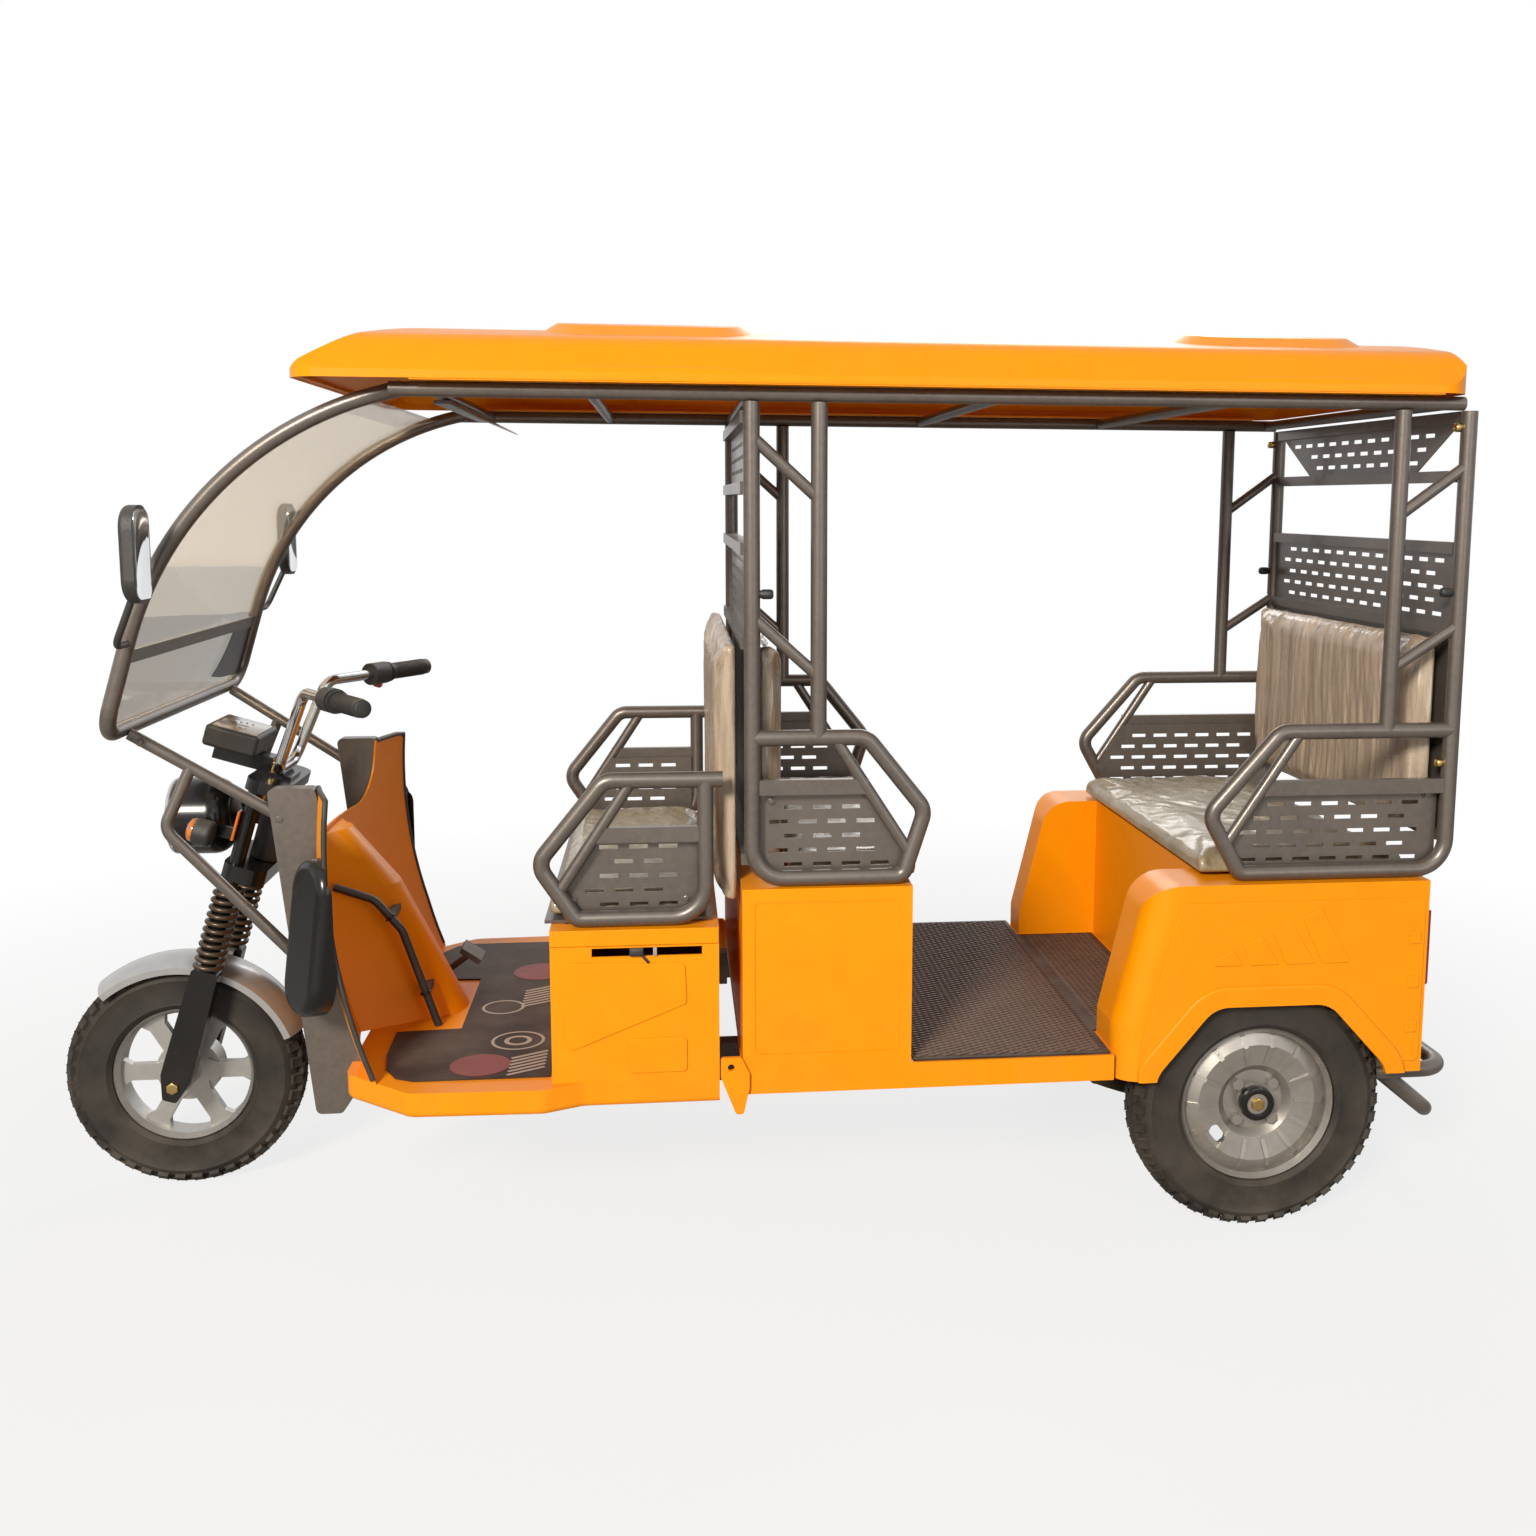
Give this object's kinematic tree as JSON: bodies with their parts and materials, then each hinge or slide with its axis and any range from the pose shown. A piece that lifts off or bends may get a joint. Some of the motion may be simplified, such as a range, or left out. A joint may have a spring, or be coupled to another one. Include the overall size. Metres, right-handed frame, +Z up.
{
  "type": "electric passenger tricycle",
  "caption": "Open-sided electric passenger tricycle with a roof, curved windscreen, facing benches, bent-tube armrests, a sprung steering fork and road wheels.",
  "frame": {"origin": "on the ground under the middle of the overall box", "axes": "+X forward, +Y to the driver's left, +Z up"},
  "size_m": [2.81, 1.112, 1.756],
  "materials": {
    "yellow_paint": "gloss",
    "grey_paint": "satin",
    "chassis_paint": "satin",
    "guard_paint": "satin",
    "silver_paint": "satin",
    "clear_sheet": "clear",
    "seat_cover": "wrapped",
    "floor_mat": "matte",
    "tyre_rubber": "matte",
    "cast_wheel": "satin",
    "steel_wheel": "satin",
    "chrome": "polished",
    "spring_steel": "satin",
    "black_plastic": "matte",
    "gloss_black": "gloss",
    "red_lens": "gloss",
    "axle_paint": "matte",
    "motor_alloy": "matte",
    "battery_case": "matte"
  },
  "bodies": {
    "chassis": {"chassis_frame": "chassis_paint", "front_floor_pan": "yellow_paint", "passenger_floor": "yellow_paint", "floor_mats": "floor_mat", "leg_shield": "yellow_paint", "steering_tunnel": "yellow_paint", "front_guard": "guard_paint", "lamp_pods": "gloss_black", "windscreen_frame": "grey_paint", "windscreen_sheets": "clear_sheet", "mirrors": "black_plastic", "roof_panel": "yellow_paint", "roof_frame": "grey_paint", "middle_side_frames": "grey_paint", "rear_side_frames": "grey_paint", "driver_armrests": "grey_paint", "armrest_sheets": "grey_paint", "partition_boards": "grey_paint", "rear_boards": "grey_paint", "visor_board": "grey_paint", "driver_seat_box": "yellow_paint", "middle_seat_box": "yellow_paint", "battery_pack": "battery_case", "rear_wheel_boxes": "yellow_paint", "rear_bench_base": "yellow_paint", "tail_panel": "yellow_paint", "tail_lamps": "red_lens", "rear_bumper": "guard_paint", "driver_backrest": "seat_cover", "middle_backrest": "seat_cover", "middle_cushion": "seat_cover", "rear_cushion": "seat_cover", "rear_backrest": "seat_cover", "brake_pedal": "chassis_paint", "rear_axle": "axle_paint", "drive_motor": "motor_alloy", "leaf_springs": "chassis_paint", "tunnel_pipe": "black_plastic"},
    "steering": {"front_fork": "chassis_paint", "fork_springs": "spring_steel", "handlebar": "chrome", "hand_grips": "black_plastic", "headlamp": "gloss_black", "instrument_box": "black_plastic", "front_mudguard": "silver_paint", "turn_signals": "black_plastic"},
    "front_wheel": {"front_tyre": "tyre_rubber", "front_rim": "cast_wheel"},
    "rear_wheel_left": {"rear_tyre_left": "tyre_rubber", "rear_rim_left": "steel_wheel"},
    "rear_wheel_right": {"rear_tyre_right": "tyre_rubber", "rear_rim_right": "steel_wheel"},
    "driver_seat": {"driver_seat_lid": "black_plastic", "driver_cushion": "seat_cover"}
  },
  "joints": [
    {"name": "steering_turn", "type": "hinge", "parent": "chassis", "child": "steering", "pos_m": [1.13653, 0, 0.22477], "axis": [-0.2924, 0, 0.9563], "range_deg": [-40, 40]},
    {"name": "front_wheel_spin", "type": "hinge", "parent": "steering", "child": "front_wheel", "pos_m": [1.17, 0, 0.235], "axis": [0, 1, 0], "continuous": true},
    {"name": "rear_left_wheel_spin", "type": "hinge", "parent": "chassis", "child": "rear_wheel_left", "pos_m": [-0.97, 0.412, 0.25], "axis": [0, 1, 0], "continuous": true},
    {"name": "rear_right_wheel_spin", "type": "hinge", "parent": "chassis", "child": "rear_wheel_right", "pos_m": [-0.97, -0.412, 0.25], "axis": [0, 1, 0], "continuous": true},
    {"name": "driver_seat_lift", "type": "hinge", "parent": "chassis", "child": "driver_seat", "pos_m": [0.396, 0, 0.634], "axis": [0, 1, 0], "range_deg": [0, 75]}
  ]
}
